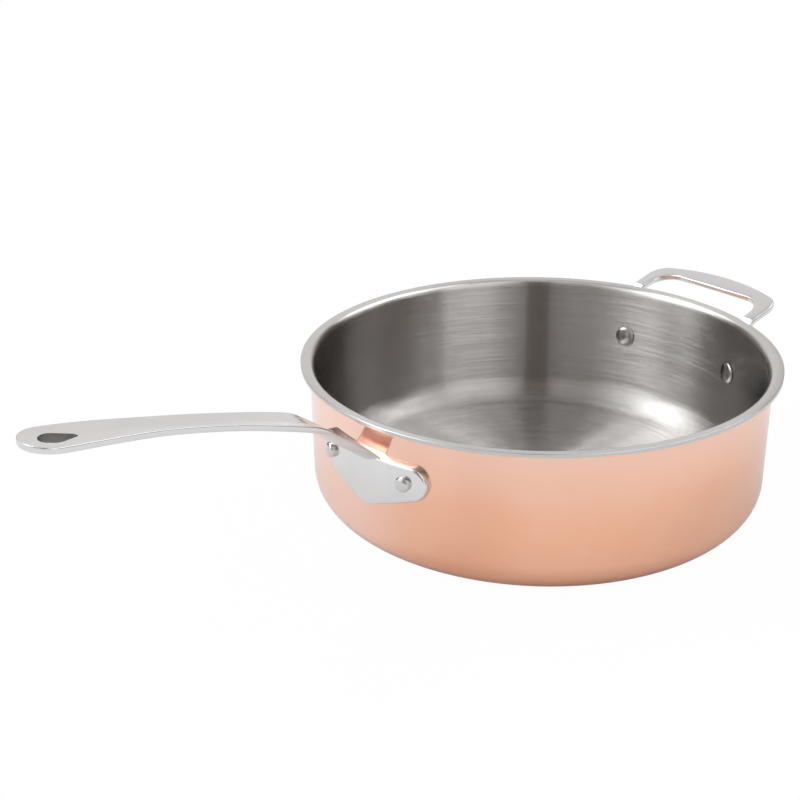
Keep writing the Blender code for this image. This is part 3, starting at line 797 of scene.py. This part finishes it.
def handle_section(length):
    """Section of the long handle: shallow V on top and a full belly below."""
    shoulder = ease(length, 0.0, SHOULDER_POSITION)
    waist = ease(length, SHOULDER_POSITION, WAIST_POSITION)
    tip = ease(length, WIDENING_POSITION, TIP_START)
    end = tip_share(length)
    half_width = ROOT_HALF_WIDTH
    half_width += (SHOULDER_HALF_WIDTH - ROOT_HALF_WIDTH) * shoulder
    half_width += (WAIST_HALF_WIDTH - SHOULDER_HALF_WIDTH) * waist
    half_width += (TIP_HALF_WIDTH - WAIST_HALF_WIDTH) * tip
    half_width *= end
    neck = ease(length, ROOT_LENGTH, GRIP_START)
    side = ROOT_SIDE_HEIGHT + (GRIP_SIDE_HEIGHT - ROOT_SIDE_HEIGHT) * neck
    side += (TIP_SIDE_HEIGHT - GRIP_SIDE_HEIGHT) * tip
    side = END_SIDE_HEIGHT + (side - END_SIDE_HEIGHT) * end
    crown = ROOT_CROWN + (GRIP_CROWN - ROOT_CROWN) * neck
    crown = (crown + (TIP_CROWN - GRIP_CROWN) * tip) * end
    groove = ROOT_GROOVE + (GRIP_GROOVE - ROOT_GROOVE) * shoulder
    groove = (groove + (TIP_GROOVE - GRIP_GROOVE) * tip) * end
    edge = min(HANDLE_EDGE_ROUND, half_width * EDGE_ROUND_LIMIT, side * EDGE_SIDE_LIMIT)

    facet = half_width - edge
    softness = GROOVE_ROUND * end
    right = []
    for share in FACET_SHARES:
        rise = math.sqrt((groove * share) ** 2 + softness ** 2) - softness
        right.append((facet * share, rise - groove))
    right += arc((facet, -edge), edge, math.pi / 2, 0.0, EDGE_STEPS)
    right.append((half_width, -side / 2))
    right.append((half_width, edge * BELLY_START_SHARE - side))
    for share in BELLY_SHARES:
        lift = edge * BELLY_LIFT_SHARE * share ** BELLY_LIFT_POWER
        right.append((half_width * share, lift - side - crown * (1 - share ** 2)))
    left = [(-across, up) for across, up in right[::-1]]
    return [(0.0, -groove)] + right + [(0.0, -side - crown)] + left


def handle_lengths():
    """Lengths along the long handle at which its sections stand."""
    lengths = [ROOT_LENGTH * step / ROOT_STEPS for step in range(ROOT_STEPS)]
    lengths += [ROOT_LENGTH, ROOT_LENGTH + NECK_LENGTH / 2]
    for step in range(BEND_STEPS + 1):
        lengths.append(ROOT_LENGTH + NECK_LENGTH + BEND_LENGTH * step / BEND_STEPS)
    for step in range(1, GRIP_STEPS + 1):
        lengths.append(GRIP_START + (TIP_START - GRIP_START) * step / GRIP_STEPS)
    last_angle = math.pi / 2 - TIP_FLAT_ANGLE
    for step in range(1, TIP_STEPS + 1):
        lengths.append(TIP_START + TIP_ROUND_LENGTH * math.sin(last_angle * step / TIP_STEPS))
    return lengths


def hole_frame():
    """Centre of the hanging hole's wide end, and the ways along and up from it."""
    hole_end, slope = handle_station(HANDLE_LENGTH - HANGING_HOLE_MARGIN)
    along = Vector((math.cos(slope), 0, math.sin(slope)))
    up = Vector((-math.sin(slope), 0, math.cos(slope)))
    centre = Vector((hole_end.x, 0, hole_end.y)) - along * HANGING_HOLE_RADIUS
    return centre, along, up


def hanging_hole():
    """Tapered slot, wide towards the tip, square to the handle's top."""
    centre, along, up = hole_frame()
    taper = math.asin((HANGING_HOLE_RADIUS - HANGING_HOLE_END_RADIUS) / HANGING_HOLE_SPACING)
    wide_half = math.pi / 2 + taper
    narrow_end = 2 * math.pi - wide_half
    narrow_centre = (-HANGING_HOLE_SPACING, 0.0)
    outline = arc((0.0, 0.0), HANGING_HOLE_RADIUS, -wide_half, wide_half, HOLE_STEPS)
    outline += arc(narrow_centre, HANGING_HOLE_END_RADIUS, wide_half, narrow_end, HOLE_END_STEPS)
    depth = 2 * (TIP_SIDE_HEIGHT + TIP_CROWN)
    rings = []
    for level in (-depth, depth):
        middle = centre + up * level
        rings.append([middle + along * ahead + Vector((0, across, 0)) for ahead, across in outline])
    return loft(rings)


def line_hanging_hole(piece, material):
    """Give the wall of the hanging hole its unpolished cast surface."""
    centre, along, up = hole_frame()
    turn_back = Matrix.Rotation(-LONG_HANDLE_AZIMUTH, 3, "Z")
    piece.data.materials.append(material)
    for face in piece.data.polygons:
        offset = turn_back @ face.center - centre
        inward = along * min(max(offset.dot(along), -HANGING_HOLE_SPACING), 0.0) - offset
        upright = abs(face.normal.z) < HOLE_WALL_TILT
        near = inward.length < HANGING_HOLE_LENGTH
        if upright and near and inward.dot(turn_back @ face.normal) > 0:
            face.material_index = 1


def add_long_handle(material, raw_material):
    """Cast steel handle with its riveted shield and its hanging hole."""
    rings = []
    for length in handle_lengths():
        place, slope = handle_station(length)
        lean = slope * ease(length, 0.0, ROOT_LENGTH)
        ring = []
        for across, up in handle_section(length):
            ring.append((place.x - up * math.sin(lean), across, place.y + up * math.cos(lean)))
        rings.append(ring)
    arm = add_object("arm_blank", loft(rings), material, LONG_HANDLE_AZIMUTH)
    plate = curved_plate(shield_outline(), SHIELD_THICKNESS, SHIELD_EDGE_ROUND)
    shield = add_object("shield_blank", plate, material, LONG_HANDLE_AZIMUTH)
    hole = add_object("hole_blank", hanging_hole(), material, LONG_HANDLE_AZIMUTH)
    handle = unite("cast_long_handle", [arm, shield], [hole], material)
    line_hanging_hole(handle, raw_material)
    return handle


def leg_stations(leg_outer, leg_inner):
    """Stations up one leg of the helper, and the point where the grip begins."""
    wall = math.sqrt(FITTING_RADIUS ** 2 - leg_inner ** 2)
    lip = math.sqrt(RIM_RADIUS ** 2 - leg_inner ** 2)
    root = Vector((wall, HELPER_RIVET_HEIGHT + OUTER_HEAD_RADIUS + LEG_HEAD_GAP))
    corner = Vector((lip + RIM_CLEARANCE, PAN_HEIGHT - LOOP_DROP))
    leg = (corner - root).normalized()
    leg_angle = math.atan2(leg.y, leg.x)
    bend_start = corner - leg * LEG_BEND_RADIUS * math.tan((leg_angle - LOOP_SLOPE) / 2)
    bend_centre = bend_start + Vector((leg.y, -leg.x)) * LEG_BEND_RADIUS
    places = []
    for step in range(LEG_STEPS):
        share = step / LEG_STEPS
        growth = ease(share, 0.0, LEG_TAPER_SHARE)
        thickness = LEG_ROOT_THICKNESS + (LOOP_THICKNESS - LEG_ROOT_THICKNESS) * growth
        places.append((root.lerp(bend_start, share), leg_angle, thickness))
    for step in range(LEG_BEND_STEPS + 1):
        angle = leg_angle + (LOOP_SLOPE - leg_angle) * step / LEG_BEND_STEPS
        place = bend_centre + Vector((-math.sin(angle), math.cos(angle))) * LEG_BEND_RADIUS
        places.append((place, angle, LOOP_THICKNESS))
    stations = []
    for place, angle, thickness in places:
        normal = Vector((-math.sin(angle), 0, math.cos(angle)))
        outer = Vector((place.x, leg_outer, place.y))
        inner = Vector((place.x, leg_inner, place.y))
        stations.append((outer, inner, normal, thickness))
    return stations, places[-1][0], lip


def loop_stations():
    """Stations on half the helper loop: outer point, inner point, normal, thickness."""
    leg_middle = math.sin(HELPER_RIVET_SPREAD) * (FITTING_RADIUS + PAD_THICKNESS)
    leg_outer = leg_middle + LEG_WIDTH / 2
    leg_inner = leg_middle - LEG_WIDTH / 2
    stations, plane_start, lip = leg_stations(leg_outer, leg_inner)
    normal = Vector((-math.sin(LOOP_SLOPE), 0, math.cos(LOOP_SLOPE)))

    def in_plane(reach, across):
        return Vector((reach, across, plane_start.y + (reach - plane_start.x) * math.tan(LOOP_SLOPE)))

    grip_outer = lip + LOOP_REACH
    grip_inner = grip_outer - GRIP_WIDTH
    bow_centre = grip_outer - GRIP_BOW_RADIUS
    corner_bow = GRIP_BOW_RADIUS - OUTER_CORNER_RADIUS
    corner_across = leg_outer - OUTER_CORNER_RADIUS
    tilt = math.asin(corner_across / corner_bow)
    corner = (bow_centre + corner_bow * math.cos(tilt), corner_across)
    window = (grip_inner - WINDOW_CORNER_RADIUS, leg_inner - WINDOW_CORNER_RADIUS)
    outer_points = arc(corner, OUTER_CORNER_RADIUS, math.pi / 2, tilt, LOOP_CORNER_STEPS)
    inner_points = arc(window, WINDOW_CORNER_RADIUS, math.pi / 2, 0.0, LOOP_CORNER_STEPS)
    outer_points += arc((bow_centre, 0.0), GRIP_BOW_RADIUS, tilt, 0.0, BOW_STEPS)[1:]
    for step in range(1, BOW_STEPS + 1):
        inner_points.append((grip_inner, window[1] * (1 - step / BOW_STEPS)))
    for outer, inner in zip(outer_points, inner_points):
        stations.append((in_plane(*outer), in_plane(*inner), normal, LOOP_THICKNESS))
    return stations


def loop_section(outer, inner, normal, thickness):
    """Section of the helper loop: flat top, soft edges and a rounded underside."""
    across = (outer - inner).normalized()
    width = (outer - inner).length
    side = thickness / 2
    soft = LOOP_EDGE_ROUND
    outline = arc((soft, -soft), soft, math.pi, math.pi / 2, EDGE_STEPS)
    outline += [(width * share, 0.0) for share in LOOP_TOP_SHARES]
    outline += arc((width - soft, -soft), soft, math.pi / 2, 0.0, EDGE_STEPS)
    for aside, down in arc((0.0, 0.0), 1.0, 0.0, -math.pi, BELLY_STEPS):
        outline.append((width / 2 * (1 + aside), side * (down - 1)))
    return [inner + across * aside + normal * up for aside, up in outline]


def add_helper_handle(material):
    """Cast steel loop on two round pads, opposite the long handle."""
    rings = [loop_section(*station) for station in loop_stations()]
    mirrored = [[Vector((point.x, -point.y, point.z)) for point in ring] for ring in rings[-2::-1]]
    loop = add_object("loop_blank", loft(rings + mirrored), material, HELPER_HANDLE_AZIMUTH)
    parts = [loop]
    pad = arc((0.0, HELPER_RIVET_HEIGHT), PAD_RADIUS, 0.0, 2 * math.pi, PAD_STEPS)[:-1]
    for side, turn in (("left", HELPER_RIVET_SPREAD), ("right", -HELPER_RIVET_SPREAD)):
        blank = curved_plate(pad, PAD_THICKNESS, PAD_EDGE_ROUND)
        parts.append(add_object(f"pad_blank_{side}", blank, material, HELPER_HANDLE_AZIMUTH + turn))
    return unite("cast_helper_handle", parts, [], material)


def add_bowl():
    """The clad sheet's three layers, from the outside in."""
    lining_depth = SHEET_THICKNESS - LINING_THICKNESS
    core_thickness = lining_depth - COPPER_THICKNESS
    skin = add_layer("bowl_copper_skin", 0.0, COPPER_THICKNESS, copper_material(), round_bottom=True)
    show(skin, "polished_copper", "copper_shell")
    core = add_layer("bowl_core", COPPER_THICKNESS, core_thickness, core_material())
    show(core, "core_aluminium", "aluminium_core")
    lining = add_layer("bowl_steel_lining", lining_depth, LINING_THICKNESS, lining_material(), round_top=True)
    show(lining, "brushed_steel", "steel_lining")


def add_handles():
    """Both handles, of one cast steel."""
    cast = cast_material()
    show(add_long_handle(cast, raw_cast_material()), "cast_steel", "long_handle")
    show(add_helper_handle(cast), "cast_steel", "helper_handle")


def add_rivets():
    """Two rivets through each handle."""
    steel = rivet_material()
    fittings = (
        ("long_handle", LONG_HANDLE_AZIMUTH, LONG_RIVET_SPREAD, LONG_RIVET_HEIGHT, SHIELD_THICKNESS),
        ("helper_handle", HELPER_HANDLE_AZIMUTH, HELPER_RIVET_SPREAD, HELPER_RIVET_HEIGHT, PAD_THICKNESS),
    )
    for handle, azimuth, spread, height, thickness in fittings:
        for side, turn in (("left", spread), ("right", -spread)):
            seat = FITTING_RADIUS + thickness
            rivet = add_rivet(f"domed_{handle}_rivet_{side}", azimuth + turn, height, seat, steel)
            show(rivet, "rivet_steel", f"{handle}_rivet_{side}")


def add_camera():
    """Camera at the photograph's viewing angle."""
    camera_data = bpy.data.cameras.new("camera")
    camera_data.lens = CAMERA_LENS
    camera_data.sensor_width = CAMERA_SENSOR
    camera_data.clip_start, camera_data.clip_end = CAMERA_CLIP
    camera = bpy.data.objects.new("camera", camera_data)
    place = VIEW_TURN @ Vector((0.0, -CAMERA_DISTANCE, CAMERA_HEIGHT))
    heading = Matrix.Rotation(CAMERA_TURN + CAMERA_HEADING, 4, "Z")
    dip = Matrix.Rotation(math.pi / 2 - CAMERA_DIP, 4, "X")
    lean = Matrix.Rotation(CAMERA_ROLL, 4, "Z")
    camera.matrix_world = Matrix.Translation(place) @ heading @ dip @ lean
    bpy.context.collection.objects.link(camera)
    bpy.context.scene.camera = camera


def soft_edges(nodes, value, edges):
    """1 between the two middle edges, fading to 0 at the outer ones."""
    start, full, wane, end = (math.radians(edge) for edge in edges)
    rising = nodes.ramp(value, start, full, 0.0, 1.0)
    return nodes.math("MULTIPLY", rising, nodes.ramp(value, wane, end, 1.0, 0.0))


def studio_level(nodes):
    """Level of the soft boxes and of the glow overhead, by direction."""
    direction = nodes.add("ShaderNodeTexCoord").outputs["Generated"]
    aside = nodes.dot(direction, ASIDE)
    ahead = nodes.dot(direction, AHEAD)
    heading = nodes.math("ARCTAN2", aside, ahead)
    elevation = nodes.math("ARCSINE", nodes.dot(direction, UPWARD))
    zenith_start, zenith_full = (math.radians(edge) for edge in ZENITH_EDGE)
    level = nodes.ramp(elevation, zenith_start, zenith_full, 0.0, ZENITH_LEVEL)
    for strength, headings, elevations in SOFT_BOXES.values():
        across = soft_edges(nodes, heading, headings)
        box = nodes.math("MULTIPLY", across, soft_edges(nodes, elevation, elevations))
        level = nodes.math("MULTIPLY_ADD", box, strength, level)
    off_middle = nodes.math("ABSOLUTE", nodes.math("SUBTRACT", aside, GAP_MIDDLE))
    gap = nodes.ramp(off_middle, *GAP_ASIDE, 1.0, 0.0)
    gap = nodes.math("MULTIPLY", gap, nodes.ramp(ahead, *GAP_AHEAD, 1.0, 0.0))
    return nodes.math("MULTIPLY", level, nodes.math("SUBTRACT", 1.0, gap))


def make_world():
    """Soft boxes round the pan in a dim room; the camera alone sees white."""
    world = bpy.data.worlds.new("studio")
    bpy.context.scene.world = world
    nodes = Nodes(world)
    nodes.tree.nodes.clear()
    rays = nodes.add("ShaderNodeLightPath")
    boxes = nodes.add("ShaderNodeBackground")
    boxes.inputs["Color"].default_value = BOX_COLOUR
    nodes.link(studio_level(nodes), boxes.inputs["Strength"])
    room = nodes.add("ShaderNodeBackground")
    room.inputs["Color"].default_value = ROOM_COLOUR
    studio = nodes.add("ShaderNodeAddShader")
    nodes.link(boxes.outputs[0], studio.inputs[0])
    nodes.link(room.outputs[0], studio.inputs[1])
    white = nodes.add("ShaderNodeBackground")
    white.inputs["Color"].default_value = WHITE
    choice = nodes.add("ShaderNodeMixShader")
    nodes.link(rays.outputs["Is Camera Ray"], choice.inputs[0])
    nodes.link(studio.outputs[0], choice.inputs[1])
    nodes.link(white.outputs[0], choice.inputs[2])
    output = nodes.add("ShaderNodeOutputWorld")
    nodes.link(choice.outputs[0], output.inputs[0])


def floor_material():
    """Pale floor: nearly white to the camera, dimmer in mirror images by the pan, a painted shadow."""
    material = bpy.data.materials.new("floor_white")
    nodes = Nodes(material)
    nodes.tree.nodes.clear()
    matt = nodes.add("ShaderNodeBsdfDiffuse")
    matt.inputs["Color"].default_value = FLOOR_COLOUR
    glow = nodes.add("ShaderNodeEmission")
    rays = nodes.add("ShaderNodeLightPath")
    share = nodes.math("MULTIPLY", rays.outputs["Is Camera Ray"], CAMERA_WHITE_SHARE)
    # Painted shadow: the floor's white glow in mirror images fades close to the pan
    mirrored = nodes.ramp(nodes.reach(), *PAN_SHADE, *MIRRORED_WHITE_SHARE)
    share = nodes.math("MULTIPLY_ADD", rays.outputs["Is Glossy Ray"], mirrored, share)
    choice = nodes.add("ShaderNodeMixShader")
    nodes.link(share, choice.inputs[0])
    nodes.link(matt.outputs[0], choice.inputs[1])
    nodes.link(glow.outputs[0], choice.inputs[2])
    output = nodes.add("ShaderNodeOutputMaterial")
    nodes.link(choice.outputs[0], output.inputs[0])
    return material


def add_floor():
    """Level floor that the pan stands on."""
    bm = bmesh.new()
    bmesh.ops.create_grid(bm, x_segments=1, y_segments=1, size=FLOOR_REACH)
    mesh = bpy.data.meshes.new("floor")
    bm.to_mesh(mesh)
    bm.free()
    mesh.materials.append(floor_material())
    floor = bpy.data.objects.new("floor", mesh)
    bpy.context.collection.objects.link(floor)


add_bowl()
add_handles()
add_rivets()
add_camera()
make_world()
add_floor()
bpy.context.scene.view_settings.view_transform = "Standard"
